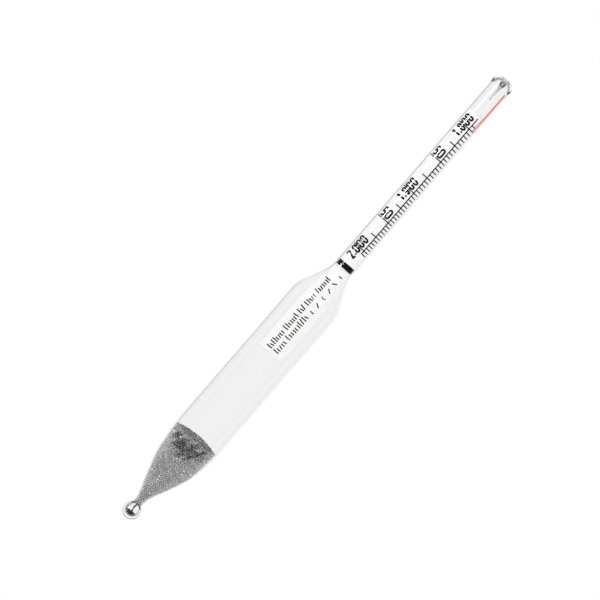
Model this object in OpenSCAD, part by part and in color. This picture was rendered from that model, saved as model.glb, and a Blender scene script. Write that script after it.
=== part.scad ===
// Glass hydrometer for heavy liquids: a weighted float with a graduated stem.
// +Z runs up the axis, as the instrument floats. The origin is the lowest point of the tip bead, and the
// printed side of both papers faces -Y. Dimensions are in millimetres.

/* [Overall] */
// Height of the very top of the stem above the tip of the bead
total_length = 200; // [197:1:210]
// Straight steps that each drawn curve is divided into
curve_steps = 14; // [8:1:24]

/* [Tip] */
// Diameter of the glass bead that seals the bottom
bead_d = 6.3; // [5.5:0.1:7]
// Diameter of the waist between the bead and the nose
waist_d = 3.54; // [3:0.1:4]
// Radius of the fillet that runs from the bead into the waist
waist_fillet_r = 0.7; // [0.4:0.1:1]
// Diameter of the hollow in the bead, which is the lowest end of the cavity
bead_hollow_d = 4.2; // [3.4:0.1:4.6]

/* [Bulb] */
// Outside diameter of the straight bulb tube
bulb_d = 18.7; // [17:0.1:20]
// Glass thickness of the bulb and the shoulder
bulb_wall = 0.5; // [0.4:0.05:0.8]
// Glass thickness at the waist, where the nose has been drawn thin
neck_wall = 0.35; // [0.3:0.05:0.5]
// Height at which the nose becomes the straight bulb tube
bulb_bottom_z = 39.8; // [37:0.1:42]
// Height at which the bulb tube turns in to the shoulder
bulb_top_z = 97.7; // [96:0.1:99]
// Height of the knee, where the steep cone of the nose flattens towards the bulb
knee_z = 24.3; // [23:0.1:26]
// Outside diameter at the knee
knee_d = 15.7; // [14.5:0.1:16.5]

/* [Stem] */
// Outside diameter of the stem tube
stem_d = 7.7; // [7.4:0.1:8]
// Glass thickness of the stem tube
stem_wall = 0.4; // [0.35:0.05:0.45]
// Height at which the shoulder has narrowed to the stem
stem_bottom_z = 114; // [112:0.1:114.5]
// Height of the sealed end, from where the stem tube stops to its very top
cap_h = 4.2; // [4:0.1:5]
// Diameter of the slightly swollen rim of the sealed end
cap_rim_d = 8.04; // [8.02:0.01:8.1]
// Thickness of the glass of the dome at the sealed end
dome_t = 1.1; // [0.9:0.1:2.2]
// Length of the glass thread that the seal leaves hanging inside the stem
seal_thread_len = 6.4; // [4:0.1:8]
// Diameter of the drop that the thread ends in
thread_drop_d = 0.8; // [0.5:0.1:1]

/* [Ballast] */
// Height of the shot where it meets the glass
shot_edge_z = 36.4; // [34:0.1:38]
// How far the top of the shot is heaped above its edge
shot_crown = 1.4; // [0.6:0.1:2]
// Thickness of the resin film that holds the shot down
film_t = 0.3; // [0.2:0.05:0.6]

/* [Papers] */
// Thickness of the paper
paper_t = 0.1; // [0.08:0.01:0.12]
// Outside diameter of the rolled scale paper
scale_roll_d = 6.4; // [6.3:0.05:6.5]
// Height of the top edge of the scale paper
scale_top_z = 184.4; // [183:0.1:190]
// Angle of the open slit at the back of the roll
scale_slit = 10; // [5:1:20]
// Height of the bottom edge of the label slip in the bulb
label_bottom_z = 75; // [60:0.5:80]
// Width of the label slip when it lies flat
label_w = 11.2; // [9:0.1:12]
// Radius of the label's curl at its free end
label_curl_r = 8.5; // [7:0.1:12]
// Height of the black band at the foot of the scale
band_h = 2.1; // [1:0.1:3]
// Height of the band's bottom edge
band_z = 113.8; // [113.5:0.1:116]

/* [Scale] */
// Mass of the whole hydrometer in grams, which sets the spacing of the graduations
float_mass = 46.4; // [45:0.1:48]
// Height of the 2.000 graduation
datum_z = 123; // [121:0.1:125]
// Width of one printed line
line_w = 0.4; // [0.2:0.01:0.45]
// Thickness of the ink
ink_t = 0.03; // [0.02:0.01:0.04]

/* [Red strip] */
// Height of the strip's lower end, on the paper
strip_bottom_z = 178.4; // [176:0.1:181]
// Height of the strip's upper end, on the bare glass
strip_top_z = 195.4; // [190:0.1:195.6]
// Thickness of the strip
strip_t = 0.1; // [0.08:0.01:0.12]
// Angle that the strip spans round the stem
strip_span = 29; // [10:1:29]

/* [Hidden] */

// Radii that the sizes above give
bead_r = bead_d / 2;
waist_r = waist_d / 2;
bulb_r = bulb_d / 2;
knee_r = knee_d / 2;
stem_r = stem_d / 2;
bore_r = stem_r - stem_wall;
roll_r = scale_roll_d / 2;
cap_z = total_length - cap_h;

// The bead's sphere meets the waist fillet, which ends level with the fillet's own centre
waist_z = bead_r + sqrt(pow(bead_r + waist_fillet_r, 2) - pow(waist_r + waist_fillet_r, 2));
fillet_angle = asin((waist_z - bead_r) / (bead_r + waist_fillet_r));

// Lengths of the tangents that shape the nose and the shoulder
waist_pull = 4.9;
knee_pull = 14;
knee_ease = 1.1;
bulb_pull = 5;
knee_lean = 18.3;
shoulder_pull = 4.2;
neck_pull = 5.2;

// Proportions of the sealed end: its swollen rim, its dome, and the thread with the drop it ends in
rim_rise = 1.5;
dome_pull = 1.7;
dome_flat = 2.3;
roof_ease = 0.9;
root_r = 1.2;
root_drop = 0.15;
thread_r = 0.26;
thread_pull = 3.6;
drop_meet = 60;

// How far the scale paper reaches down into the shoulder
scale_tuck = 0.8;

// How far a cutter runs past what it cuts
cut_over = 1;

// Clearance between the glass and what it holds
fit_gap = 0.05;

// The hollow in the bead stands a little above the bead's centre, so the glass is thickest at the tip
hollow_lift = 0.25;
bead_hollow_z = bead_r + hollow_lift;

// Hydrometer law: a mark sits where the displaced volume is mass over density
mark_spacing = float_mass * 1000 / (PI * pow(stem_r, 2));
datum_density = 2;
density_step = 0.005;
first_step = -1;
last_step = 41;
steps_per_label = 10;
steps_per_mid = 5;
baseline_overrun = 2;

// Turns from the front of the stem, positive to the right when the front faces the viewer
baseline_turn = 23.5;
short_tick_turn = 70;
mid_tick_turn = -14;
long_tick_turn = -71;
strip_turn = 65.5;
half_line_turn = line_w / roll_r * 90 / PI;

// Gap that keeps the printed lines separate solids
hairline = 0.01;

// The label slip is rolled inside the foot of the scale paper
label_tuck_r = roll_r - paper_t - fit_gap;
label_top_z = band_z + band_h;
label_open_z = 91;
label_columns = 16;
label_rows = 24;

facets = 96;

function bezier_point(p, t) =
    pow(1 - t, 3) * p[0] + 3 * pow(1 - t, 2) * t * p[1] + 3 * (1 - t) * t * t * p[2] + pow(t, 3) * p[3];

function bezier(p, steps = curve_steps) = [for (i = [0 : steps]) bezier_point(p, i / steps)];

function arc(centre, r, from, to, steps = curve_steps) =
    [
        for (i = [0 : steps])
            let (angle = from + (to - from) * i / steps) centre + r * [cos(angle), sin(angle)]
    ];

// A curve without its last point, so that the next curve can start there
function open_end(points) = [for (i = [0 : len(points) - 2]) points[i]];

// The same points from last to first
function reversed(points) = [for (i = [len(points) - 1 : -1 : 0]) points[i]];

// Outline of the nose from the waist to the bulb, moved in towards the axis at its two ends
function nose_curve(neck_inset, bulb_inset) =
    let (
        waist = [waist_r - neck_inset, waist_z],
        knee = [knee_r - (neck_inset + bulb_inset) / 2, knee_z],
        bulb = [bulb_r - bulb_inset, bulb_bottom_z],
        lean = [sin(knee_lean), cos(knee_lean)]
    )
    concat(
        open_end(bezier([waist, waist + [0, waist_pull], knee - knee_pull * lean, knee])),
        bezier([knee, knee + knee_ease * lean, bulb - [0, bulb_pull], bulb])
    );

// Outline of the shoulder from the bulb to the stem, between a lower and an upper radius
function shoulder_curve(low_r, high_r) = bezier([
    [low_r, bulb_top_z],
    [low_r, bulb_top_z + shoulder_pull],
    [high_r, stem_bottom_z - neck_pull],
    [high_r, stem_bottom_z]
]);

// Outline of the hollow in the bead, from the axis up to the bore of the waist, moved in by inset
function hollow_curve(inset) =
    let (r = bead_hollow_d / 2 - inset, bore = waist_r - neck_wall - inset)
    arc([0, bead_hollow_z], r, -90, acos(bore / r));

// Outline of the whole cavity below the bulb, moved in by inset
function cavity_curve(inset) =
    concat(hollow_curve(inset), nose_curve(neck_wall + inset, bulb_wall + inset));

// The part of the cavity's outline that the shot fills
function bed_curve() = [for (p = cavity_curve(fit_gap)) if (p[1] < shot_edge_z) p];

// Top of the heaped shot, raised by lift: an arc from the radius edge_r to the axis
function heap_curve(edge_r, lift) =
    let (r = (pow(edge_r, 2) + pow(shot_crown, 2)) / (2 * shot_crown), spread = asin(edge_r / r))
    arc([0, shot_edge_z + lift + shot_crown - r], r, 90 - spread, 90);

function mark_z(step) =
    datum_z + mark_spacing * (1 / (datum_density - step * density_step) - 1 / datum_density);

// Radius of the label's curl at a height: open in the bulb, rolled tight in the neck
function label_r(z) =
    let (t = max(0, min(1, (z - label_open_z) / (band_z - label_open_z))))
    label_curl_r + (label_tuck_r - label_curl_r) * t * t * (3 - 2 * t);

// Point of the label at a row and column, on its outer face or, with inset, below it.
// Its front line stays straight, so the curl's centre moves back as the curl opens.
function label_point(row, column, inset) =
    let (
        z = label_bottom_z + (label_top_z - label_bottom_z) * row / label_rows,
        r = label_r(z),
        turn = (column / label_columns - 0.5) * label_w / r * 180 / PI
    )
    [(r - inset) * sin(turn), r - label_tuck_r - (r - inset) * cos(turn), z];

module revolve(outline) {
    rotate_extrude($fn = facets) polygon(outline);
}

// A band of a thin wall round the axis, from one turn to another as seen from the front
module wrapped_band(r, t, z, h, from, to) {
    rotate([0, 0, from - 90])
        rotate_extrude(angle = to - from, $fn = facets)
            translate([r, z]) square([t, h]);
}

// A straight tube round the axis
module tube(low_z, high_z, outer_r, inner_r) {
    h = high_z - low_z;
    translate([0, 0, low_z])
        difference() {
            cylinder(h = h, r = outer_r, $fn = facets);
            translate([0, 0, -cut_over]) cylinder(h = h + 2 * cut_over, r = inner_r, $fn = facets);
        }
}

module tip_bead() {
    hollow = hollow_curve(0);
    color("#dfe6e8")
        revolve(concat(
            open_end(arc([0, bead_r], bead_r, -90, fillet_angle, 2 * curve_steps)),
            arc([waist_r + waist_fillet_r, waist_z], waist_fillet_r, 180 + fillet_angle, 180),
            [[waist_r - neck_wall, waist_z]],
            reversed(hollow)
        ));
}

module nose_cone() {
    color("#e6eef0")
        revolve(concat(nose_curve(0, 0), reversed(nose_curve(neck_wall, bulb_wall))));
}

module bulb_tube() {
    color("#eef4f5")
        tube(bulb_bottom_z, bulb_top_z, bulb_r, bulb_r - bulb_wall);
}

module shoulder() {
    color("#e6eef0")
        revolve(concat(
            shoulder_curve(bulb_r, stem_r),
            reversed(shoulder_curve(bulb_r - bulb_wall, bore_r))
        ));
}

module stem_tube() {
    color("#eef4f5")
        tube(stem_bottom_z, cap_z, stem_r, bore_r);
}

module stem_cap() {
    rim = [cap_rim_d / 2, cap_z + rim_rise];
    hollow_z = total_length - dome_t;
    thread_root = [root_r, hollow_z - root_drop];
    thread_tip_z = cap_z + rim_rise - seal_thread_len;
    drop_r = thread_drop_d / 2;
    drop_z = thread_tip_z + drop_r;
    swell = bezier([[stem_r, cap_z], [stem_r, cap_z + rim_rise / 2], rim - [0, rim_rise / 2], rim]);
    dome = bezier([rim, rim + [0, dome_pull], [dome_flat, total_length], [0, total_length]]);
    drop = arc([0, drop_z], drop_r, -90, drop_meet);
    thread = bezier([
        drop[len(drop) - 1],
        [thread_r, drop_z + thread_pull],
        thread_root - [root_r / 2, thread_pull / 2],
        thread_root
    ]);
    hollow = bezier([thread_root, [2 * root_r, hollow_z], [bore_r, hollow_z - roof_ease], [bore_r, cap_z]]);
    color("#dfe6e8")
        revolve(concat(open_end(swell), dome, open_end(drop), open_end(thread), hollow));
}

module shot_ballast() {
    bed = bed_curve();
    color("#75777a")
        revolve(concat(bed, heap_curve(bed[len(bed) - 1][0], 0)));
}

module resin_film() {
    bed = bed_curve();
    edge_r = bed[len(bed) - 1][0];
    color("#f2ead6")
        revolve(concat(heap_curve(edge_r, 0), reversed(heap_curve(edge_r, film_t))));
}

module scale_paper() {
    low_z = stem_bottom_z - scale_tuck;
    color("white")
        wrapped_band(
            roll_r - paper_t, paper_t, low_z, scale_top_z - low_z,
            scale_slit / 2 - 180, 180 - scale_slit / 2
        );
}

// A tick runs from the short-tick end to the baseline, or on past it for the longer ones
module tick(step) {
    turn = step % steps_per_label == 0 ? long_tick_turn
        : step % steps_per_mid == 0 ? mid_tick_turn
        : baseline_turn - half_line_turn;
    wrapped_band(roll_r, ink_t, mark_z(step) - line_w / 2, line_w, turn, short_tick_turn);
}

// The baseline is printed between the ticks, from just above one to just below the next
module baseline_piece(from_z, to_z) {
    wrapped_band(
        roll_r, ink_t, from_z, to_z - from_z, baseline_turn - half_line_turn, baseline_turn + half_line_turn
    );
}

module graduations() {
    clear = line_w / 2 + hairline;
    color("black") {
        for (step = [first_step : last_step]) tick(step);
        for (step = [first_step : last_step - 1])
            baseline_piece(mark_z(step) + clear, mark_z(step + 1) - clear);
        baseline_piece(mark_z(last_step) + clear, mark_z(last_step + baseline_overrun));
    }
}

module label_paper() {
    across = label_columns + 1;
    per_row = 2 * across;
    points = [
        for (row = [0 : label_rows])
            for (k = [0 : per_row - 1])
                k < across ? label_point(row, k, 0) : label_point(row, per_row - 1 - k, paper_t)
    ];
    sides = [
        for (row = [0 : label_rows - 1])
            for (k = [0 : per_row - 1])
                let (a = row * per_row + k, b = row * per_row + (k + 1) % per_row)
                each [[a, a + per_row, b], [b, a + per_row, b + per_row]]
    ];
    top_start = label_rows * per_row;
    ends = [
        for (k = [0 : label_columns - 1])
            let (a = k, b = k + 1, c = per_row - 2 - k, d = per_row - 1 - k)
            each [
                [a, b, c], [a, c, d],
                [top_start + c, top_start + b, top_start + a], [top_start + d, top_start + c, top_start + a]
            ]
    ];
    color("white")
        polyhedron(points, concat(sides, ends));
}

module neck_band() {
    color("#111111")
        tube(band_z, band_z + band_h, roll_r + paper_t, roll_r);
}

module red_strip() {
    color("#fa6e5a")
        wrapped_band(
            bore_r - fit_gap - strip_t, strip_t, strip_bottom_z, strip_top_z - strip_bottom_z,
            strip_turn - strip_span / 2, strip_turn + strip_span / 2
        );
}

tip_bead();
nose_cone();
bulb_tube();
shoulder();
stem_tube();
stem_cap();
shot_ballast();
resin_film();
scale_paper();
graduations();
label_paper();
neck_band();
red_strip();
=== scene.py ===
"""The looks of a glass hydrometer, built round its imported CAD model.

Shapes are written in millimetres and in turns round the axis: a turn of 0 faces the front, -Y, and a
positive turn goes to the right as the front faces the viewer. piece() converts to metres.
"""

import itertools
import math
import random

import bmesh
import bpy
import numpy as np
from mathutils import Matrix, Vector


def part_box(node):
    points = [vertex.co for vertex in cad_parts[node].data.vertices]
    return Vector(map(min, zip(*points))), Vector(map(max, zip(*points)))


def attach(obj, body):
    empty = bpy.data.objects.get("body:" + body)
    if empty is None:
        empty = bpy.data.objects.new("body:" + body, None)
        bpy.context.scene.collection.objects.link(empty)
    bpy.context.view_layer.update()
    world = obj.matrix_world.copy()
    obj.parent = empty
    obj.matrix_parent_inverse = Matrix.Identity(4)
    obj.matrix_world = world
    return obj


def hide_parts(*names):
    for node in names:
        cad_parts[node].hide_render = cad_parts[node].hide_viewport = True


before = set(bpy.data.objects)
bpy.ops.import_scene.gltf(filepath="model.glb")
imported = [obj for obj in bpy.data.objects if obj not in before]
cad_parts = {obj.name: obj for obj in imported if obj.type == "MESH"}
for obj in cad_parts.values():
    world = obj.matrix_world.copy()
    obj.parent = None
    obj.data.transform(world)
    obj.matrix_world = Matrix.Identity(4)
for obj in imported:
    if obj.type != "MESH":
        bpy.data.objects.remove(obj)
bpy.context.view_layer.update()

MM = 0.001
SEED = 7


# ---------------------------------------------------------------------------------------------------
# Sizes, read from the frame where a CAD node's box gives them, and otherwise those of the CAD model
# ---------------------------------------------------------------------------------------------------


def lowest(node):
    """Lowest corner of a CAD node in millimetres."""
    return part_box(node)[0] / MM


def highest(node):
    """Highest corner of a CAD node in millimetres."""
    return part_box(node)[1] / MM


# Outside of the glass
BEAD_R = highest("tip_bead").x
WAIST_Z = highest("tip_bead").z
WAIST_R = 1.77
FILLET_R = 0.7
KNEE_R, KNEE_Z = 7.85, 24.3
BULB_R = highest("bulb_tube").x
BULB_Z = lowest("bulb_tube").z
SHOULDER_Z = highest("bulb_tube").z
STEM_R = highest("stem_tube").x
STEM_Z = lowest("stem_tube").z
CAP_Z = highest("stem_tube").z
RIM_R = highest("stem_cap").x
TOP_Z = highest("stem_cap").z

# Lengths of the tangents that shape the drawn glass, and the lean of the nose at its knee
WAIST_PULL = 4.9
KNEE_PULL = 14
KNEE_EASE = 1.1
BULB_PULL = 5
KNEE_LEAN = math.radians(18.3)
SHOULDER_PULL = 4.2
NECK_PULL = 5.2

# Walls, and the cavity that they leave
BULB_WALL = 0.5
NECK_WALL = 0.35
STEM_WALL = 0.4
DOME_T = 1.1
FIT_GAP = 0.05
BORE_R = STEM_R - STEM_WALL
HOLLOW_R = 2.1
HOLLOW_Z = lowest("shot_ballast").z - FIT_GAP + HOLLOW_R

# Throat of the bead: the angle at which it leaves the hollow, and the tangents of its two ends
THROAT_ANGLE = 25
THROAT_LOW_PULL = (-0.35, 0.75)
THROAT_HIGH_PULL = 1.1

# Sealed end: its swollen rim, its dome, and the hanging thread with the drop it ends in
RIM_Z = CAP_Z + 1.5
RIM_PULLS = (0.7, 0.6)
DOME_PULL = 1.7
DOME_FLAT = 2.3
ROOF_EASE = 0.9
ROOT_R, ROOT_DROP = 1.2, 0.15
THREAD_Z = lowest("stem_cap").z
THREAD_R, THREAD_PULL = 0.26, 3.6
DROP_R, DROP_MEET = 0.4, 60

# How far the drawn tip stands to the left of the axis, and the heights over which it straightens
TIP_LEAN = 0.8
LEAN_LOW_Z, LEAN_HIGH_Z = 8, 26

# Top of the shot, which meets the glass at its edge and is heaped in the middle
SHOT_EDGE_Z = lowest("resin_film").z
SHOT_TOP_Z = highest("shot_ballast").z
SHOT_EDGE_R = highest("resin_film").x

# Papers, the band round them and the strip over them
ROLL_R = highest("scale_paper").x
ROLL_LOW_Z = lowest("scale_paper").z
ROLL_TOP_Z = highest("scale_paper").z
PAPER_T = 0.1
LABEL_LOW_Z = lowest("label_paper").z
LABEL_TOP_Z = highest("label_paper").z
LABEL_W = 11.2
LABEL_CURL_R = 8.5
LABEL_OPEN_Z = 91
LABEL_TUCK_R = 3.05
BAND_LOW_Z = lowest("neck_band").z
BAND_TOP_Z = highest("neck_band").z
STRIP_TURN = math.radians(65.5)

# The scale's own law: a mark for a density stands at a height that goes with 1 / density
LINE_W = 0.4
HEAVIEST = 2.005
LIGHTEST_LINE = 1.785
LOWEST_MARK_Z = lowest("graduations").z + LINE_W / 2
HIGHEST_LINE_Z = highest("graduations").z


def mark_z(density):
    """Height of the mark for a density."""
    share = (1 / density - 1 / HEAVIEST) / (1 / LIGHTEST_LINE - 1 / HEAVIEST)
    return LOWEST_MARK_Z + (HIGHEST_LINE_Z - LOWEST_MARK_Z) * share


# ---------------------------------------------------------------------------------------------------
# Curves and meshes
# ---------------------------------------------------------------------------------------------------


def bezier(a, b, c, d, steps=24):
    """Points of a cubic curve, without its last point, so that the next stretch can start there."""
    points = []
    for i in range(steps):
        t = i / steps
        s = 1 - t
        weights = (s**3, 3 * s * s * t, 3 * s * t * t, t**3)
        points.append(tuple(sum(w * p[k] for w, p in zip(weights, (a, b, c, d))) for k in (0, 1)))
    return points


def arc(centre, r, start, end, steps=24):
    """Points of an arc in degrees, without its last point."""
    points = []
    for i in range(steps):
        angle = math.radians(start + (end - start) * i / steps)
        points.append((centre[0] + r * math.cos(angle), centre[1] + r * math.sin(angle)))
    return points


def straight(a, b, steps):
    """Points of a straight stretch, without its last point."""
    return [(a[0] + (b[0] - a[0]) * i / steps, a[1] + (b[1] - a[1]) * i / steps) for i in range(steps)]


def around(r, turn, z):
    """The point at a radius, a turn in radians and a height."""
    return (r * math.sin(turn), -r * math.cos(turn), z)


def smooth(low, high, x):
    """0 below low, 1 above high and an even rise between."""
    t = min(1, max(0, (x - low) / (high - low)))
    return t * t * (3 - 2 * t)


def plateau(rise_low, rise_high, fall_low, fall_high, x):
    """0, then an even rise to 1, then an even fall to 0."""
    return smooth(rise_low, rise_high, x) * (1 - smooth(fall_low, fall_high, x))


def bell(x, centre, width):
    """A hump of height 1 at centre."""
    return math.exp(-(((x - centre) / width) ** 2))


def short_steps(path, closed, longest=0.25):
    """The same path with no step longer than longest, so that it can lie on a curved sheet."""
    ends = path[1:] + path[:1] if closed else path[1:]
    points = []
    for a, b in zip(path, ends):
        points += straight(a, b, max(1, math.ceil(math.dist(a, b) / longest)))
    return points if closed else points + [path[-1]]


class Shell:
    """Points in millimetres and faces of one piece, gathered before its mesh is made."""

    def __init__(self):
        self.points = []
        self.faces = []

    def add(self, points, faces):
        """Adds points, and faces that count from the first of them."""
        start = len(self.points)
        self.points += points
        self.faces += [[start + i for i in face] for face in faces]

    def revolve(self, outline, segments, shape=around, inward=False):
        """Turns an outline, from a point on the axis to a point on the axis, into a closed skin."""
        rings = outline[1:-1]
        points = [shape(r, math.tau * j / segments, z) for r, z in rings for j in range(segments)]
        faces = []
        for i in range(len(rings) - 1):
            for j in range(segments):
                k = (j + 1) % segments
                low, high = i * segments, (i + 1) * segments
                faces.append([low + j, low + k, high + k, high + j])
        bottom, top = len(points), len(points) + 1
        points += [(0, 0, outline[0][1]), (0, 0, outline[-1][1])]
        last = (len(rings) - 1) * segments
        for j in range(segments):
            k = (j + 1) % segments
            faces.append([bottom, k, j])
            faces.append([top, last + j, last + k])
        self.add(points, [f[::-1] for f in faces] if inward else faces)

    def slab(self, face, back, rows, columns):
        """A thin closed sheet between two surfaces, each a function of (across, up) from 0 to 1."""
        points = []
        for surface in (face, back):
            for row in range(rows + 1):
                for column in range(columns + 1):
                    points.append(surface(column / columns, row / rows))
        across = columns + 1
        half = len(points) // 2
        faces = []
        for row in range(rows):
            for column in range(columns):
                a = row * across + column
                faces.append([a, a + 1, a + across + 1, a + across])
                faces.append([half + a + across, half + a + across + 1, half + a + 1, half + a])
        for row in range(rows):
            a, b = row * across, row * across + columns
            faces.append([a, a + across, half + a + across, half + a])
            faces.append([b + across, b, half + b, half + b + across])
        for column in range(columns):
            a, b = column, rows * across + column
            faces.append([a + 1, a, half + a, half + a + 1])
            faces.append([b, b + 1, half + b + 1, half + b])
        self.add(points, faces)

    def ribbon(self, path, width, surface, low, high, closed=False):
        """A stroke of ink: a closed strip along a path that is drawn on a surface (x, y, lift)."""
        path = short_steps(path, closed)
        count = len(path)
        sides = []
        for i, (x, y) in enumerate(path):
            before = path[i - 1] if closed or i else path[i]
            after = path[(i + 1) % count] if closed or i < count - 1 else path[i]
            dx, dy = after[0] - before[0], after[1] - before[1]
            length = math.hypot(dx, dy)
            nx, ny = -dy / length * width / 2, dx / length * width / 2
            sides.append(((x + nx, y + ny), (x - nx, y - ny)))
        points = []
        for left, right in sides:
            points += [surface(*right, high), surface(*left, high)]
            points += [surface(*left, low), surface(*right, low)]
        faces = []
        for i in range(count if closed else count - 1):
            a, b = 4 * i, 4 * ((i + 1) % count)
            for k in range(4):
                m = (k + 1) % 4
                faces.append([a + k, b + k, b + m, a + m])
        if not closed:
            end = 4 * (count - 1)
            faces += [[0, 1, 2, 3], [end + 3, end + 2, end + 1, end]]
        self.add(points, faces)

    def piece(self, name, material, slot, *nodes):
        """Leans the tip, makes the mesh, rides it on the one body and lets it stand for CAD nodes."""
        points = []
        for x, y, z in self.points:
            lean = TIP_LEAN * (1 - smooth(LEAN_LOW_Z, LEAN_HIGH_Z, z))
            points.append((x - lean, y, z))
        mesh = bpy.data.meshes.new(name)
        mesh.from_pydata((np.array(points) * MM).tolist(), [], self.faces)
        mesh.shade_smooth()
        mesh.materials.append(material)
        made = bpy.data.objects.new(name, mesh)
        bpy.context.scene.collection.objects.link(made)
        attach(made, "root")
        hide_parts(*nodes)
        return made


# ---------------------------------------------------------------------------------------------------
# Materials
# ---------------------------------------------------------------------------------------------------


class Tree:
    """A node tree that is written in short lines, of values, colours, normals and shaders."""

    def __init__(self, owner):
        owner.use_nodes = True
        self.tree = owner.node_tree
        self.tree.nodes.clear()

    def add(self, kind, inputs=None, **settings):
        """Makes a node, with settings first and then inputs, each a value or another node's output."""
        node = self.tree.nodes.new(kind)
        for name, value in settings.items():
            setattr(node, name, value)
        for name, value in (inputs or {}).items():
            if isinstance(value, bpy.types.NodeSocket):
                self.tree.links.new(value, node.inputs[name])
            else:
                node.inputs[name].default_value = value
        return node

    def math(self, operation, a, b=0.0):
        """Result of a sum, product or the like."""
        return self.add("ShaderNodeMath", {0: a, 1: b}, operation=operation).outputs[0]

    def times(self, first, *others):
        """Product of values."""
        for other in others:
            first = self.math("MULTIPLY", first, other)
        return first

    def dot(self, a, b):
        """Share of one unit vector in another's direction."""
        return self.add("ShaderNodeVectorMath", {0: a, 1: b}, operation="DOT_PRODUCT").outputs["Value"]

    def ramp(self, value, low, high, to_low=0.0, to_high=1.0):
        """Value taken from one range on to another, with soft ends. low may be above high."""
        inputs = {"Value": value, 1: low, 2: high, 3: to_low, 4: to_high}
        return self.add("ShaderNodeMapRange", inputs, interpolation_type="SMOOTHSTEP").outputs[0]

    def blend(self, share, a, b, kind="MIX"):
        """Colour between a and b, or of another kind of mix. Inputs 0, 6 and 7 are those for colours."""
        inputs = {0: share, 6: a, 7: b}
        return self.add("ShaderNodeMix", inputs, data_type="RGBA", blend_type=kind).outputs[2]

    def place(self, stretch=(1, 1, 1)):
        """Place on the object in metres, times stretch. A share below 1 draws a pattern out that way."""
        coordinates = self.add("ShaderNodeTexCoord").outputs["Object"]
        mapping = self.add("ShaderNodeMapping", {"Vector": coordinates, "Scale": stretch})
        return mapping.outputs[0]

    def noise(self, size_mm, detail=3, stretch=(1, 1, 1), roughness=0.5):
        """Noise whose lumps are about size_mm across."""
        inputs = {"Vector": self.place(stretch), "Scale": 1 / (size_mm * MM)}
        inputs.update({"Detail": detail, "Roughness": roughness})
        return self.add("ShaderNodeTexNoise", inputs).outputs[0]

    def bump(self, height, depth_mm):
        """Normal of a surface with the given height, from 0 to 1, over its depth."""
        inputs = {"Height": height, "Distance": depth_mm * MM, "Strength": 1.0}
        return self.add("ShaderNodeBump", inputs).outputs[0]

    def principled(self, **inputs):
        """The standard shader. An underscore in a name stands for a space."""
        inputs = {name.replace("_", " "): value for name, value in inputs.items()}
        return self.add("ShaderNodeBsdfPrincipled", inputs).outputs[0]

    def surface(self, shader, kind="ShaderNodeOutputMaterial"):
        """Ends the tree in a shader."""
        self.add(kind, {"Surface": shader})


def grey(value):
    """Opaque colour without hue."""
    return (value, value, value, 1.0)


def glass_material():
    """Clear glass with faint draw lines. Light on its way to the papers passes it unbent."""
    material = bpy.data.materials.new("clear_drawn_glass")
    tree = Tree(material)
    draw_lines = tree.noise(0.9, detail=2, stretch=(1, 1, 0.04))
    glass = tree.principled(
        Base_Color=(0.997, 1.0, 0.998, 1),
        Roughness=0.0,
        IOR=1.5,
        Transmission_Weight=1.0,
        Normal=tree.bump(draw_lines, 0.004),
    )
    clear = tree.add("ShaderNodeBsdfTransparent", {"Color": grey(0.99)}).outputs[0]
    path = tree.add("ShaderNodeLightPath").outputs
    lighting = tree.math("MAXIMUM", path["Is Shadow Ray"], path["Is Diffuse Ray"])
    mixed = tree.add("ShaderNodeMixShader", {0: lighting, 1: glass, 2: clear})
    tree.surface(mixed.outputs[0])
    return material


def paper_material():
    """White rag paper: a mottled sheet with fibres that stand proud by a few micrometres."""
    material = bpy.data.materials.new("white_paper")
    tree = Tree(material)
    mottle = tree.noise(1.6, detail=4)
    fibre = tree.noise(0.12, detail=3, stretch=(1, 1, 0.35))
    shade = tree.math("ADD", tree.times(mottle, 0.6), tree.times(fibre, 0.4))
    tone = tree.ramp(shade, 0.35, 0.65)
    sheet = tree.principled(
        Base_Color=tree.blend(tone, (0.9, 0.9, 0.895, 1), grey(0.965)),
        Roughness=0.75,
        Specular_IOR_Level=0.25,
        Normal=tree.bump(fibre, 0.012),
    )
    tree.surface(sheet)
    return material


def ink_material(name, colour, thin_colour, smoothest):
    """Printing ink or dyed tape, worn thin in specks. smoothest is its least roughness."""
    material = bpy.data.materials.new(name)
    tree = Tree(material)
    specks = tree.noise(0.16, detail=4, roughness=0.65)
    wear = tree.ramp(specks, 0.6, 0.75)
    film = tree.principled(
        Base_Color=tree.blend(wear, colour, thin_colour),
        Roughness=tree.ramp(specks, 0.3, 0.7, smoothest, smoothest + 0.25),
        Specular_IOR_Level=0.3,
        Normal=tree.bump(specks, 0.01),
    )
    tree.surface(film)
    return material


def strip_material():
    """Translucent red film, clouded along its length. The material lets no light through: where the white
    paper lies behind it, its red is painted paler, painted light from the paper shining through.
    """
    material = bpy.data.materials.new("red_film")
    tree = Tree(material)
    height = tree.add("ShaderNodeSeparateXYZ", {0: tree.place()}).outputs[2]
    # Share of painted light: 1 where the white paper lies behind the film.
    painted_paper_light = tree.ramp(height, (ROLL_TOP_Z + 1.0) * MM, (ROLL_TOP_Z - 4.0) * MM)
    cloud = tree.noise(0.9, detail=4, stretch=(1, 1, 0.25))
    tone = tree.ramp(cloud, 0.3, 0.7)
    red = tree.blend(tone, (0.98, 0.13, 0.08, 1), (1.0, 0.22, 0.15, 1))
    # The paler red is painted light: the red as the paper behind would light it through the film.
    pale = tree.blend(tone, (0.98, 0.30, 0.28, 1), (1.0, 0.46, 0.44, 1))
    film = tree.principled(
        Base_Color=tree.blend(painted_paper_light, red, pale),
        Roughness=0.32,
        Specular_IOR_Level=0.4,
        Normal=tree.bump(cloud, 0.01),
    )
    tree.surface(film)
    return material


# Name of the layer that carries each grain's tone, painted glints and painted shade included, from the
# mesh to its material
TONE_LAYER = "shot_tone"


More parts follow.
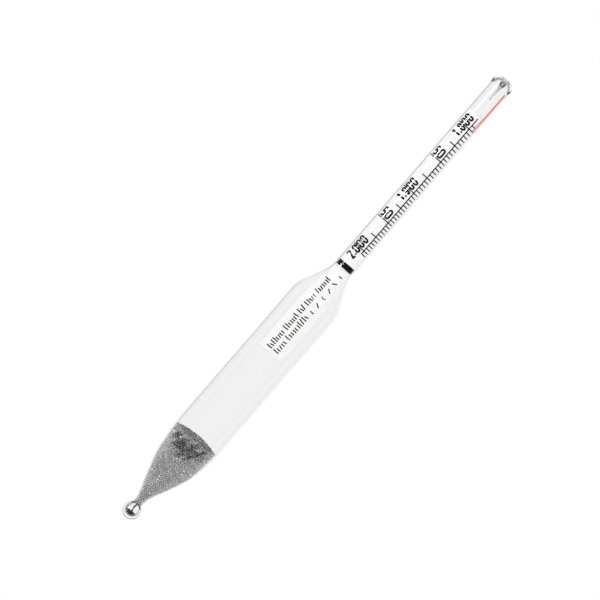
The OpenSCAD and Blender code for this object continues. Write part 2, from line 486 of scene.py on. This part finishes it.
def shot_material():
    """Dull lead: each grain has its own tone, with oxide bloom and small pits. The tones also carry
    painted glints and the painted shade of the heart.
    """
    material = bpy.data.materials.new("lead_shot")
    tree = Tree(material)
    tone = tree.add("ShaderNodeVertexColor", layer_name=TONE_LAYER).outputs[0]
    pits = tree.noise(0.14, detail=3, roughness=0.6)
    bloom = tree.blend(tree.ramp(pits, 0.35, 0.7), grey(0.72), grey(1.0))
    lead = tree.principled(
        Base_Color=tree.blend(1.0, tone, bloom, "MULTIPLY"),
        Metallic=0.25,
        Roughness=tree.ramp(pits, 0.3, 0.7, 0.34, 0.55),
        Normal=tree.bump(pits, 0.03),
    )
    tree.surface(lead)
    return material


def resin_material():
    """Clear resin, set in a thin coat: a soft gloss over what lies under it, clouded here and there."""
    material = bpy.data.materials.new("clear_resin_coat")
    tree = Tree(material)
    cloud = tree.noise(0.7, detail=4)
    tone = tree.ramp(cloud, 0.35, 0.7)
    coat = tree.principled(
        Base_Color=tree.blend(tone, (0.86, 0.84, 0.78, 1), (1, 1, 0.98, 1)),
        Roughness=tree.ramp(cloud, 0.3, 0.7, 0.12, 0.3),
        Alpha=tree.ramp(cloud, 0.4, 0.75, 0.03, 0.1),
        Normal=tree.bump(cloud, 0.03),
    )
    tree.surface(coat)
    return material


# ---------------------------------------------------------------------------------------------------
# Glass envelope
# ---------------------------------------------------------------------------------------------------

# Facets round the glass
SEGMENTS = 144


def nose_outline(neck_inset, bulb_inset):
    """Nose from the waist to the bulb, moved in by an inset at either end."""
    along = (math.sin(KNEE_LEAN), math.cos(KNEE_LEAN))
    knee = (KNEE_R - (neck_inset + bulb_inset) / 2, KNEE_Z)
    below = (knee[0] - KNEE_PULL * along[0], KNEE_Z - KNEE_PULL * along[1])
    above = (knee[0] + KNEE_EASE * along[0], KNEE_Z + KNEE_EASE * along[1])
    waist = (WAIST_R - neck_inset, WAIST_Z)
    bulb = (BULB_R - bulb_inset, BULB_Z)
    lower = bezier(waist, (waist[0], WAIST_Z + WAIST_PULL), below, knee, 36)
    return lower + bezier(knee, above, (bulb[0], BULB_Z - BULB_PULL), bulb, 30)


def shoulder_outline(low_r, high_r):
    """Shoulder from the bulb to the stem."""
    bulb, stem = (low_r, SHOULDER_Z), (high_r, STEM_Z)
    return bezier(bulb, (low_r, SHOULDER_Z + SHOULDER_PULL), (high_r, STEM_Z - NECK_PULL), stem, 48)


def outer_outline():
    """Outside of the glass, from the bottom of the bead to the top of the dome."""
    rise = (WAIST_Z - BEAD_R) / (BEAD_R + FILLET_R)
    meet = math.degrees(math.asin(rise))
    bead = arc((0, BEAD_R), BEAD_R, -90, meet, 44)
    fillet = arc((WAIST_R + FILLET_R, WAIST_Z), FILLET_R, 180 + meet, 180, 10)
    tube = straight((BULB_R, BULB_Z), (BULB_R, SHOULDER_Z), 24)
    stem = straight((STEM_R, STEM_Z), (STEM_R, CAP_Z), 40)
    start, rim = (STEM_R, CAP_Z), (RIM_R, RIM_Z)
    swell = bezier(start, (STEM_R, CAP_Z + RIM_PULLS[0]), (RIM_R, RIM_Z - RIM_PULLS[1]), rim, 10)
    dome = bezier(rim, (RIM_R, RIM_Z + DOME_PULL), (DOME_FLAT, TOP_Z), (0, TOP_Z), 28)
    outline = bead + fillet + nose_outline(0, 0) + tube + shoulder_outline(BULB_R, STEM_R) + stem
    return outline + swell + dome + [(0, TOP_Z)]


def inner_outline():
    """Inside of the glass, from the floor of the bead's hollow to the tip of the hanging thread."""
    hollow = arc((0, HOLLOW_Z), HOLLOW_R, -90, THROAT_ANGLE, 30)
    leave = arc((0, HOLLOW_Z), HOLLOW_R, THROAT_ANGLE, 90, 1)[0]
    neck_r = WAIST_R - NECK_WALL
    low_pull = (leave[0] + THROAT_LOW_PULL[0], leave[1] + THROAT_LOW_PULL[1])
    throat = bezier(leave, low_pull, (neck_r, WAIST_Z - THROAT_HIGH_PULL), (neck_r, WAIST_Z), 12)
    inner_r = BULB_R - BULB_WALL
    tube = straight((inner_r, BULB_Z), (inner_r, SHOULDER_Z), 24)
    bore = straight((BORE_R, STEM_Z), (BORE_R, CAP_Z), 40)
    roof_z = TOP_Z - DOME_T
    root = (ROOT_R, roof_z - ROOT_DROP)
    roof = bezier((BORE_R, CAP_Z), (BORE_R, roof_z - ROOF_EASE), (2 * ROOT_R, roof_z), root, 24)
    drop_z = THREAD_Z + DROP_R
    drop = arc((0, drop_z), DROP_R, DROP_MEET, -90, 12)
    root_pull = (ROOT_R / 2, root[1] - THREAD_PULL / 2)
    thread = bezier(root, root_pull, (THREAD_R, drop_z + THREAD_PULL), drop[0], 24)
    outline = hollow + throat + nose_outline(NECK_WALL, BULB_WALL) + tube
    return outline + shoulder_outline(inner_r, BORE_R) + bore + roof + thread + drop + [(0, THREAD_Z)]


# Heights at which the unevenness of the nose and of the shoulder starts, is full, fades and ends
NOSE_WORKED = (7, 14, 30, 39)
SHOULDER_WORKED = (98, 102, 109, 113)

# The one bump that can be seen on the left of the shoulder: its height, its rise and its reach
BUMP_Z, BUMP_RISE, BUMP_REACH = 106.9, 0.1, 0.7

# Small bubble in the thick glass under the dome: its radius, its depth, and its place beside the axis
BUBBLE_R, BUBBLE_DEPTH = 0.3, 1.5
BUBBLE_LEFT, BUBBLE_FORWARD = 0.05, 0.3


def hand_worked(depth, phase):
    """Unevenness that the flame leaves on the nose and the shoulder, and not on the straight tube."""

    def shape(r, turn, z):
        worked = plateau(*NOSE_WORKED, z) + plateau(*SHOULDER_WORKED, z)
        lobes = math.sin(2 * turn + phase + 0.08 * z) + 0.6 * math.sin(3 * turn - phase + 0.21 * z)
        rings = 0.5 * math.sin(1.9 * z + phase)
        from_left = math.sin(turn / 2 + math.pi / 4)
        bump = BUMP_RISE * bell(z, BUMP_Z, BUMP_REACH) * bell(from_left, 0, 0.35)
        return around(r + worked * depth * (lobes + rings) + bump, turn, z)

    return shape


def dome_bubble():
    """Outline of the small bubble in the thick glass where the thread leaves the dome."""
    centre_z = TOP_Z - BUBBLE_DEPTH
    return arc((0, centre_z), BUBBLE_R, -90, 90, 12) + [(0, centre_z + BUBBLE_R)]


def thread_bore():
    """Outline of the fine bore that the hanging thread keeps from when it was drawn off."""
    foot_z, root_z = THREAD_Z + 0.2, TOP_Z - DOME_T - 1.0
    foot = [(0, foot_z), (0.16, foot_z + 0.12), (0.2, foot_z + 0.25), (0.12, foot_z + 0.6)]
    return foot + [(0.12, root_z - 2.5), (0.2, root_z - 0.9), (0.3, root_z - 0.2), (0, root_z)]


def glass_envelope():
    """The sealed glass: its outside, its cavity, the bubble and the bore of the thread."""

    def beside(r, turn, z):
        x, y, _ = around(r, turn, z)
        return (x - BUBBLE_LEFT, y - BUBBLE_FORWARD, z)

    shell = Shell()
    shell.revolve(outer_outline(), SEGMENTS, hand_worked(0.018, 0.6))
    shell.revolve(inner_outline(), SEGMENTS, hand_worked(0.022, 2.1), inward=True)
    shell.revolve(dome_bubble(), 16, beside, inward=True)
    shell.revolve(thread_bore(), 24, inward=True)
    nodes = ("tip_bead", "nose_cone", "bulb_tube", "shoulder", "stem_tube", "stem_cap")
    shell.piece("glass_envelope", glass_material(), "clear_glass", *nodes)


# ---------------------------------------------------------------------------------------------------
# Ballast
# ---------------------------------------------------------------------------------------------------

# The lowest grains against the wall of the nose, and the top of the few that lie in the bead
PLUG_Z = 5.7
POOL_TOP_Z = 2.6

# Least and greatest radius of a grain, in the bed and in the bead
GRAIN_R = (0.22, 0.34)
POOL_GRAIN_R = (0.2, 0.32)

# How many grains are tried in each place, and how far two may sink into each other: 1 is not at all
WALL_TRIES, HEAP_TRIES, POOL_TRIES = 30000, 5000, 900
CLOSEST, POOL_CLOSEST, COLUMN_CLOSEST = 0.86, 0.8, 0.3

# Least gap between a grain and the glass, and how much farther in a grain may lie
WALL_GAP, WALL_SCATTER = 0.01, 0.22

# Tones of the grains; of the few painted brighter than white as painted glints; and of the heart below
# them, whose dark tone is painted shade between the grains
GRAIN_TONES = (0.62, 0.68, 0.74, 0.8, 0.86)
PAINTED_GLINT_TONE, PAINTED_GLINT_SHARE = 1.7, 0.012
HEART_SHADE_TONE = 0.46

# The patch that resin has darkened: its heights as plateau() takes them, and its half width at the
# bottom and at the top
PATCH_Z = (28, 29, 33.5, 35.5)
PATCH_LOW_W, PATCH_TOP_W = 3.0, 6.5

# Share of its brightness that a grain loses where the resin has soaked it through, and low in the waist
# and the bead
DARKENING_LOSS = 0.86


def cavity_wall(z):
    """Radius of the cavity and the slope of its wall, dr/dz, at a height in the nose."""
    wall = [(WAIST_R - NECK_WALL, 0), *nose_outline(NECK_WALL, BULB_WALL)]
    for (r0, z0), (r1, z1) in zip(wall, wall[1:]):
        if z0 <= z < z1:
            slope = (r1 - r0) / (z1 - z0)
            return r0 + (z - z0) * slope, slope
    return BULB_R - BULB_WALL, 0.0


def heap_z(r):
    """Height of the heaped shot at a distance from the axis."""
    crown = SHOT_TOP_Z - SHOT_EDGE_Z
    big_r = (SHOT_EDGE_R**2 + crown**2) / (2 * crown)
    return SHOT_EDGE_Z + crown - big_r + math.sqrt(big_r**2 - min(r, SHOT_EDGE_R) ** 2)


def brightness(centre, stray):
    """Brightness left to a grain. Resin has darkened the edge of the heap and a patch on the front below
    it; the grains in the waist and the bead are darker as well."""
    x, y, z = centre
    stray += 0.9 * math.sin(1.9 * x - 1.4 * z)
    half_width = PATCH_LOW_W + (PATCH_TOP_W - PATCH_LOW_W) * smooth(28, 34, z)
    across = 1 - smooth(half_width - 0.8, half_width + 0.8, abs(x + 0.5) + stray)
    front = 1 - smooth(-3, 3, y)
    patch = across * plateau(*PATCH_Z, z + stray) * front
    crust = 0.75 * smooth(SHOT_EDGE_Z - 0.6, SHOT_EDGE_Z, z)
    # Grains low in the waist and the bead are darker.
    bead_and_waist = 1 - smooth(PLUG_Z - 0.5, PLUG_Z + 1.5, z)
    mottle = 1 + 0.16 * math.sin(1.3 * x + 0.9 * z) * math.sin(1.1 * y - 0.8 * z + 1)
    return mottle * (1 - DARKENING_LOSS * max(patch, crust, bead_and_waist))


def unit_grain():
    """Corners and faces of a ball of 42 corners, from which each grain is shaped."""
    ball = bmesh.new()
    bmesh.ops.create_icosphere(ball, subdivisions=2, radius=1.0)
    corners = np.array([v.co[:] for v in ball.verts])
    faces = [[v.index for v in f.verts] for f in ball.faces]
    ball.free()
    return corners, faces


class Packing:
    """Grains that keep their distance. A grid of cells, each at least as wide as that distance, is where
    a grain's neighbours are looked up."""

    def __init__(self, cell):
        self.cell = cell
        self.cells = {}
        self.grains = []

    def key(self, p):
        """Cell that a place lies in."""
        return tuple(math.floor(c / self.cell) for c in p)

    def add(self, p, r, closeness):
        """Adds a grain unless it would come closer to another than closeness times their two radii."""
        key = self.key(p)
        for near in itertools.product(*((k - 1, k, k + 1) for k in key)):
            for q, s in self.cells.get(near, ()):
                if math.dist(p, q) < (r + s) * closeness:
                    return
        self.cells.setdefault(key, []).append((p, r))
        self.grains.append((p, r))


def line_wall(packing, draw):
    """Grains against the wall of the nose."""
    widest = BULB_R - BULB_WALL
    for _ in range(WALL_TRIES):
        z = draw.uniform(PLUG_Z, SHOT_EDGE_Z)
        wall_r, slope = cavity_wall(z)
        if draw.random() * widest > wall_r:
            continue
        r = draw.uniform(*GRAIN_R)
        back = (r + WALL_GAP + WALL_SCATTER * draw.random() ** 2) / math.cos(math.atan(slope))
        packing.add(around(wall_r - back, draw.uniform(0, math.tau), z), r, CLOSEST)


def cover_heap(packing, draw):
    """Grains over the top of the heap."""
    for _ in range(HEAP_TRIES):
        across = (SHOT_EDGE_R - 0.3) * math.sqrt(draw.random())
        r = draw.uniform(*GRAIN_R)
        lift = draw.uniform(-0.25, 0.05)
        packing.add(around(across, draw.uniform(0, math.tau), heap_z(across) - r + lift), r, CLOSEST)


def fill_bead(packing, draw):
    """A pool of grains in the bead, and the thin column that joins it to the bed above, wider upwards."""
    for _ in range(POOL_TRIES):
        z = draw.uniform(HOLLOW_Z - HOLLOW_R, POOL_TOP_Z)
        r = draw.uniform(*POOL_GRAIN_R)
        reach = (HOLLOW_R - r) ** 2 - (z - HOLLOW_Z) ** 2
        if reach > 0:
            across = math.sqrt(reach * draw.random())
            packing.add(around(across, draw.uniform(0, math.tau), z), r, POOL_CLOSEST)
    steps = 8
    for i in range(steps + 1):
        share = i / steps
        z = POOL_TOP_Z + (PLUG_Z - POOL_TOP_Z) * share
        centre = (0.12 * math.sin(9 * share), 0.15 * math.cos(7 * share), z)
        packing.add(centre, 0.3 + 0.16 * share**2, COLUMN_CLOSEST)


def shot_heart(shell):
    """The lumpy body that stands for the grains out of sight; its dark tone is painted shade for the gaps
    between them.
    """

    def lumpy(r, turn, z):
        lump = 0.12 * math.sin(9 * turn + 3.1 * z) * math.sin(2.3 * z - 4 * turn)
        return around(max(0.05, r - 0.1 + lump), turn, z)

    depth = 0.5
    shares = (0.98, 0.9, 0.75, 0.5, 0.25)
    inner = nose_outline(NECK_WALL, BULB_WALL)
    wall = [(r - GRAIN_R[1], z) for r, z in inner if z < SHOT_EDGE_Z - 0.6]
    edge = wall[-1][0]
    top = [(edge * s, heap_z(edge * s) - depth) for s in shares]
    shell.revolve([(0, WAIST_Z - 0.2)] + wall + top + [(0, SHOT_TOP_Z - depth)], 72, lumpy)


def grain_points(corners, centre, r, draw):
    """Corners of one grain: a ball that is dented, squashed and spun at random."""
    angle = draw.uniform(0, math.tau)
    axis = Vector((draw.gauss(0, 1), draw.gauss(0, 1), 1))
    spin = Matrix.Rotation(angle, 3, axis)
    squash = np.array([draw.uniform(0.86, 1.1) for _ in range(3)])
    dents = np.array([draw.uniform(0.93, 1.05) for _ in corners])[:, None]
    return (corners * dents * squash * r) @ np.array(spin) + np.array(centre)


def lead_shot():
    """The ballast: loose grains over the heart, each with its own tone, a few with a painted glint."""
    draw = random.Random(SEED)
    shell = Shell()
    shot_heart(shell)
    # The heart's tone is painted shade, darker than the grains' own tones.
    tones = [HEART_SHADE_TONE] * len(shell.points)

    packing = Packing(cell=0.8)
    line_wall(packing, draw)
    cover_heap(packing, draw)
    fill_bead(packing, draw)
    corners, faces = unit_grain()
    for centre, r in packing.grains:
        shell.add(grain_points(corners, centre, r, draw).tolist(), faces)
        tone = draw.choice(GRAIN_TONES) * brightness(centre, draw.uniform(-1, 1))
        # A few grains get a tone above white: a painted glint.
        if draw.random() < PAINTED_GLINT_SHARE:
            tone = PAINTED_GLINT_TONE
        tones += [tone] * len(corners)

    made = shell.piece("lead_shot_bed", shot_material(), "lead_shot", "shot_ballast")
    layer = made.data.color_attributes.new(TONE_LAYER, "FLOAT_COLOR", "POINT")
    layer.data.foreach_set("color", [c for tone in tones for c in grey(tone)])


def resin_film():
    """The film over the shot: it follows the grains below and climbs a little up the glass."""
    shell = Shell()

    def lumpy(r, turn, z):
        lump = 0.06 * math.sin(2.1 * r * math.sin(turn) + 1) * math.sin(1.7 * r * math.cos(turn))
        fine = 0.05 * math.sin(7 * turn + 2 * r)
        inside = 1 - smooth(SHOT_EDGE_R - 0.8, SHOT_EDGE_R, r)
        return around(r, turn, z + (lump + fine) * inside)

    rim, sunk, lift, climb = SHOT_EDGE_R - 0.01, 0.02, 0.16, 0.45
    shares = (0.2, 0.4, 0.6, 0.75, 0.88, 0.96)
    under = [(rim * s, heap_z(rim * s) - sunk) for s in shares]
    over = [(rim * s, heap_z(rim * s) + lift + 0.2 * smooth(0.86, 1, s)) for s in reversed(shares)]
    edge = [(rim, SHOT_EDGE_Z), (rim, SHOT_EDGE_Z + climb)]
    shell.revolve([(0, SHOT_TOP_Z - sunk)] + under + edge + over + [(0, SHOT_TOP_Z + lift)], 96, lumpy)
    shell.piece("resin_film", resin_material(), "resin", "resin_film")


# ---------------------------------------------------------------------------------------------------
# Papers
# ---------------------------------------------------------------------------------------------------


def rolled_scale(paper):
    """The scale paper, rolled to the bore. Its cut edges waver a little and leave a slit at the back."""
    half_slit, sag = 5, 0.008

    def at(r):
        def surface(across, up):
            slit = math.radians(half_slit + 0.8 * math.sin(7 * up))
            turn = (across - 0.5) * (math.tau - 2 * slit)
            top = ROLL_TOP_Z - 0.06 * (1 + math.sin(2.3 * turn + 1))
            low = ROLL_LOW_Z + 0.05 * (1 + math.sin(1.9 * turn))
            return around(r - sag * (1 - math.sin(2 * turn + 5 * up)), turn, low + (top - low) * up)

        return surface

    shell = Shell()
    shell.slab(at(ROLL_R), at(ROLL_R - PAPER_T), 60, 120)
    shell.piece("scale_paper_roll", paper, "white_paper", "scale_paper")


def label_r(z):
    """Radius of the label's curl: open in the bulb, rolled tight in the neck."""
    return LABEL_CURL_R + (LABEL_TUCK_R - LABEL_CURL_R) * smooth(LABEL_OPEN_Z, BAND_LOW_Z, z)


def on_label(x, z, lift):
    """Point over the label at a flat distance x from its middle line. Its two free corners turn back."""
    r = label_r(z)
    x_on, y_on, _ = around(r + lift, x / r, z)
    corner = smooth(4, LABEL_W / 2, abs(x)) * (1 - smooth(LABEL_LOW_Z, LABEL_LOW_Z + 6, z))
    return (x_on, r - LABEL_TUCK_R + y_on + 0.25 * corner, z)


def label_slip(paper):
    """The label slip, open in the bulb and rolled in the neck."""
    height = LABEL_TOP_Z - LABEL_LOW_Z

    def at(lift):
        def surface(across, up):
            return on_label((across - 0.5) * LABEL_W, LABEL_LOW_Z + height * up, lift)

        return surface

    shell = Shell()
    shell.slab(at(0), at(-PAPER_T), 80, 32)
    shell.piece("label_slip", paper, "white_paper", "label_paper")


def neck_band(tape):
    """The black band: a strip of tape wound once round the foot of the scale, with its end lapped."""
    end_turn, thickness, waver = 186, 0.045, 0.03

    def at(lift):
        def surface(across, up):
            turn = math.radians(end_turn * (2 * across - 1))
            lap = thickness * smooth(0.965, 0.99, across)
            edge = waver * math.sin(3 * turn) * (2 * up - 1)
            z = BAND_LOW_Z + waver + edge + (BAND_TOP_Z - BAND_LOW_Z - 2 * waver) * up
            return around(ROLL_R + lift + lap, turn, z)

        return surface

    shell = Shell()
    shell.slab(at(thickness), at(0.002), 6, 144)
    shell.piece("neck_band", tape, "black_tape", "neck_band")


def red_strip():
    """The narrow red film between the paper and the glass, with rounded ends."""
    low, high = lowest("red_strip"), highest("red_strip")
    outer_r = BORE_R - FIT_GAP
    half_span = math.asin(high.x / outer_r) - STRIP_TURN

    def at(r):
        def surface(across, up):
            aside = 2 * across - 1
            waver = 0.004 * math.sin(9 * up) + 0.003 * math.sin(23 * up)
            rounded = 0.25 * aside**2
            z = low.z + rounded + (high.z - low.z - 2 * rounded) * up
            return around(r, STRIP_TURN + waver + aside * half_span, z)

        return surface

    shell = Shell()
    shell.slab(at(outer_r), at(outer_r - 0.06), 60, 8)
    shell.piece("red_strip", strip_material(), "red_film", "red_strip")


# ---------------------------------------------------------------------------------------------------
# Print
# ---------------------------------------------------------------------------------------------------

# Width and height of a figure, how much it is stretched either way of reading, and the pens
DIGIT_W, DIGIT_H = 1.1, 2.75
STRETCH_UP, STRETCH_ACROSS = 1.17, (1.2, 1.15)
PEN, TYPE_PEN = 0.68, 0.44

# Heights over the paper of the ink's lower face, and of its upper face on the scale and on the label
INK_LOW, INK_HIGH, TYPE_HIGH = 0.003, 0.03, 0.02

# Rows of the label: their margin, the heights of tall and short marks, and the share of tall ones
ROW_MARGIN = 2.1
TALL_MARK, SHORT_MARK, TALL_SHARE = 2.3, 1.55, 0.25


def bow(cx, cy, rx, ry, start, end, steps=10):
    """Points along part of an oval, in degrees, ends included."""
    angles = [math.radians(start + (end - start) * i / steps) for i in range(steps + 1)]
    return [(cx + rx * math.cos(a), cy + ry * math.sin(a)) for a in angles]


def digit_strokes(digit):
    """Pen paths of a digit or the point, as (points, closed). The foot is at 0, the middle at x = 0."""
    w, h = DIGIT_W / 2, DIGIT_H
    if digit == "0":
        oval = bow(0, h - w, w, w, 0, 180) + bow(0, w, w, w, 180, 360)
        return [(oval, True)]
    if digit == "1":
        flag = [(-w * 0.9, h * 0.78), (-0.1, h - 0.1), (0.0, h)]
        return [(flag + [(0.05, h * 0.5), (0.05, 0)], False)]
    if digit == "2":
        return [(bow(0, h - w, w, w, 170, -30, 12) + [(-w, 0), (w, 0)], False)]
    if digit == "5":
        bowl = bow(0, h * 0.28, w, h * 0.28, 150, -140, 16)
        return [([(w * 0.9, h), (-w * 0.8, h), (-w * 0.95, h * 0.5)] + bowl, False)]
    if digit == "8":
        upper = bow(0, h * 0.76, w * 0.85, h * 0.24, -90, 270, 20)[:-1]
        lower = bow(0, h * 0.26, w, h * 0.26, 90, 450, 20)[:-1]
        return [(upper, True), (lower, True)]
    if digit == "9":
        head = bow(0, h * 0.68, w, h * 0.32, 0, 360, 20)[:-1]
        return [(head, True), (bow(w * 0.1, h * 0.45, w * 0.9, h * 0.45, 12, -140, 14), False)]
    point = [(0, 0.0), (0, 0.42)]
    return [(point, False)]


def on_roll(x, z, lift):
    """Point over the rolled scale at a flat distance x from its front line."""
    return around(ROLL_R + lift, x / ROLL_R, z)


def print_digit(shell, digit, place):
    """Adds a digit's strokes. place takes the digit's own (x, y) to the paper's."""
    for path, closed in digit_strokes(digit):
        shell.ribbon([place(*p) for p in path], PEN, on_roll, INK_LOW, INK_HIGH, closed)


def scale_numerals(ink):
    """Figures of the scale: the whole numbers read up the stem, and the half-way ones across it."""
    shell = Shell()
    foot_x = 0.18
    from_mark = (-3.75, -2.5, -1.15, 1.15, 3.1)
    for density in (1.8, 1.9, 2.0):
        for digit, step in zip(f"{density:.3f}", from_mark):
            z = mark_z(density) + step
            print_digit(shell, digit, lambda x, y, z=z: (foot_x - y * STRETCH_UP, z + x))
    wide, tall = STRETCH_ACROSS
    for density in (1.85, 1.95):
        z = mark_z(density) + 0.7
        for digit, x0 in (("5", -2.5), ("0", -0.42)):
            print_digit(shell, digit, lambda x, y, x0=x0, z=z: (x0 + x * wide, z + y * tall))
    shell.piece("scale_numerals", ink, "black_ink")


def mark_path(kind, w, h):
    """Pen path of one plain mark, w wide and h high, with its foot at 0."""
    if kind == "bar":
        return [(0, 0), (0, h)]
    if kind == "left bow":
        return bow(w / 4, h / 2, w / 2, h / 2, 90, 270, 8)
    if kind == "right bow":
        return bow(-w / 4, h / 2, w / 2, h / 2, 90, -90, 8)
    lean = w / 2 if kind == "slant" else -w / 2
    return [(-lean, 0), (lean, h)]


def label_marks(ink):
    """Rows of plain strokes that stand for lines of type. They spell nothing."""
    draw = random.Random(SEED + 1)
    shell = Shell()
    kinds = ["bar", "left bow", "slant", "right bow", "back slant"]

    def mark(foot_x, z, w, h):
        """One mark at a height, its top towards -X. No kind comes twice running."""
        kinds.append(kinds.pop(draw.randrange(len(kinds) - 1)))
        path = [(foot_x - y, z + x) for x, y in mark_path(kinds[-1], w, h)]
        shell.ribbon(path, TYPE_PEN, on_label, INK_LOW, TYPE_HIGH)

    def row(foot_x, pitch, groups):
        """Groups of marks up the label, with the first mark of each one tall."""
        z = LABEL_LOW_Z + ROW_MARGIN
        for count in groups:
            for place in range(count):
                tall = place == 0 or draw.random() < TALL_SHARE
                mark(foot_x, z, 0.4 * pitch, TALL_MARK if tall else SHORT_MARK)
                z += pitch
            z += 0.8 * pitch

    row(-0.75, 0.95, (8, 7, 3, 5, 7))
    row(2.15, 1.06, (5, 10))
    for place in range(6):
        mark(2.5 - 0.12 * place, LABEL_LOW_Z + 20.3 + 3.1 * place, 1.0, 1.6)
    shell.piece("label_print", ink, "black_ink")


# ---------------------------------------------------------------------------------------------------
# Room
# ---------------------------------------------------------------------------------------------------

# The camera's place in metres, and how far it is rolled so that the stem points to the upper right
CAMERA_PLACE = (-0.00428, -1.149, 0.0959)
CAMERA_ROLL = math.radians(-40.82)


def camera():
    """Looks level along +Y, from far enough away that the outline is nearly without perspective."""
    data = bpy.data.cameras.new("camera")
    data.lens = 200
    data.sensor_width = 36
    made = bpy.data.objects.new("camera", data)
    bpy.context.scene.collection.objects.link(made)
    roll = Matrix.Rotation(CAMERA_ROLL, 4, "Y")
    level = Matrix.Rotation(math.radians(90), 4, "X")
    made.matrix_world = Matrix.Translation(CAMERA_PLACE) @ roll @ level
    bpy.context.scene.camera = made


# Strengths of the studio as the glass shows it, and the turn of its bar to the left of the camera
ROOM_LIGHT = 0.02
BOX_LIGHT = 5.0
BAR_LIGHT = 20.0
BAR_TURN = math.radians(-44)


def camera_directions(tree):
    """Shares of a ray's direction: away from the camera, to its right, and up against its own rise."""
    direction = tree.add("ShaderNodeTexCoord").outputs["Generated"]
    forward = tree.add(
        "ShaderNodeVectorTransform",
        {0: (0, 0, 1)},
        vector_type="VECTOR",
        convert_from="CAMERA",
        convert_to="WORLD",
    ).outputs[0]
    up = (0, 0, 1)
    right = tree.add("ShaderNodeVectorMath", {0: forward, 1: up}, operation="CROSS_PRODUCT").outputs[0]
    rise = tree.math("SUBTRACT", tree.dot(direction, up), tree.dot(forward, up))
    return tree.dot(direction, forward), tree.dot(direction, right), rise


def bent_light(tree, away, aside):
    """What the glass bends into view: a white sweep behind that fades to a dark room at its sides."""
    near = tree.ramp(away, 0.35, 0.8, 0.12, 0.65)
    far = tree.ramp(away, 0.75, 0.95, 0.0, 0.38)
    sweep = tree.math("ADD", tree.times(near, tree.ramp(away, -0.1, 0.1)), far)
    return tree.times(sweep, tree.ramp(aside, -0.4, -0.1, 0.66, 1.0))


def mirrored_light(tree, away, aside, rise):
    """What the glass mirrors: a wider sweep, a soft box over the camera and a bright bar to its left."""
    sweep = tree.times(tree.ramp(away, -0.14, -0.04), tree.ramp(away, 0.0, 0.85, 0.95, 1.02))
    box = tree.times(
        tree.ramp(rise, 0.25, 0.5),
        tree.ramp(rise, 0.75, 0.62),
        tree.ramp(tree.math("ABSOLUTE", aside), 0.6, 0.25, 0.0, BOX_LIGHT),
        tree.ramp(away, 0.1, -0.1),
    )
    across, along = math.cos(BAR_TURN), math.sin(BAR_TURN)
    facing = tree.math("ADD", tree.times(away, -across), tree.times(aside, along))
    offset = tree.math("ADD", tree.times(aside, across), tree.times(away, along))
    bar = tree.times(
        tree.ramp(tree.math("ABSOLUTE", offset), 0.19, 0.11),
        tree.ramp(facing, 0.0, 0.2),
        tree.ramp(rise, 0.008, 0.04),
        tree.ramp(rise, 0.4, 0.25, 0.0, BAR_LIGHT),
    )
    brightest = tree.math("MAXIMUM", sweep, ROOM_LIGHT)
    for light in (box, bar):
        brightest = tree.math("MAXIMUM", brightest, light)
    return brightest


def studio_world():
    """White to the eye, and soft, even light on the papers. The glass sees a studio of its own, which
    turns with the camera."""
    world = bpy.data.worlds.new("studio")
    bpy.context.scene.world = world
    world.cycles.sampling_method = "NONE"
    tree = Tree(world)
    away, aside, rise = camera_directions(tree)
    path = tree.add("ShaderNodeLightPath").outputs
    straight_light = tree.ramp(path["Is Camera Ray"], 0.0, 1.0, 1.05, 1.0)
    colour = tree.blend(path["Is Singular Ray"], straight_light, mirrored_light(tree, away, aside, rise))
    colour = tree.blend(path["Is Transmission Ray"], colour, bent_light(tree, away, aside))
    light = tree.add("ShaderNodeBackground", {"Color": colour, "Strength": 1.0})
    tree.surface(light.outputs[0], "ShaderNodeOutputWorld")


def soft_light():
    """A large soft light from the upper left, which only shades the papers and the shot a little."""
    data = bpy.data.lights.new("soft_light", "AREA")
    data.shape = "SQUARE"
    data.size = 1.0
    data.energy = 3.0
    made = bpy.data.objects.new("soft_light", data)
    bpy.context.scene.collection.objects.link(made)
    place = Vector((-0.7, -1.1, 1.0))
    made.location = place
    made.rotation_euler = place.to_track_quat("Z", "Y").to_euler()
    made.visible_camera = False
    made.visible_glossy = False
    made.visible_transmission = False


def floor():
    """A plain pale floor under the bead. It neither lights the instrument nor shows in its glass."""
    half = 6.0
    corners = [(-half, -half, 0), (half, -half, 0), (half, half, 0), (-half, half, 0)]
    mesh = bpy.data.meshes.new("floor")
    mesh.from_pydata(corners, [], [[0, 1, 2, 3]])
    material = bpy.data.materials.new("pale_floor")
    tree = Tree(material)
    tree.surface(tree.add("ShaderNodeEmission", {"Color": grey(1.0), "Strength": 1.0}).outputs[0])
    mesh.materials.append(material)
    made = bpy.data.objects.new("floor", mesh)
    bpy.context.scene.collection.objects.link(made)
    made.visible_glossy = False
    made.visible_transmission = False
    made.visible_diffuse = False
    made.visible_shadow = False


# ---------------------------------------------------------------------------------------------------
# Build
# ---------------------------------------------------------------------------------------------------


def instrument():
    """The hydrometer: glass, ballast, papers and print."""
    paper = paper_material()
    ink = ink_material("printing_ink", grey(0.012), grey(0.05), 0.45)
    tape = ink_material("black_tape", grey(0.01), grey(0.03), 0.4)
    glass_envelope()
    lead_shot()
    resin_film()
    rolled_scale(paper)
    label_slip(paper)
    neck_band(tape)
    red_strip()
    scale_numerals(ink)
    label_marks(ink)
    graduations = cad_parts["graduations"].data
    graduations.materials.clear()
    graduations.materials.append(ink)


def studio():
    """Camera, light, floor, and enough bounces for light to get through all the walls of glass."""
    camera()
    studio_world()
    soft_light()
    floor()
    scene = bpy.context.scene
    scene.view_settings.view_transform = "Standard"
    scene.cycles.max_bounces = 32
    scene.cycles.transmission_bounces = 32
    scene.cycles.transparent_max_bounces = 16


instrument()
studio()
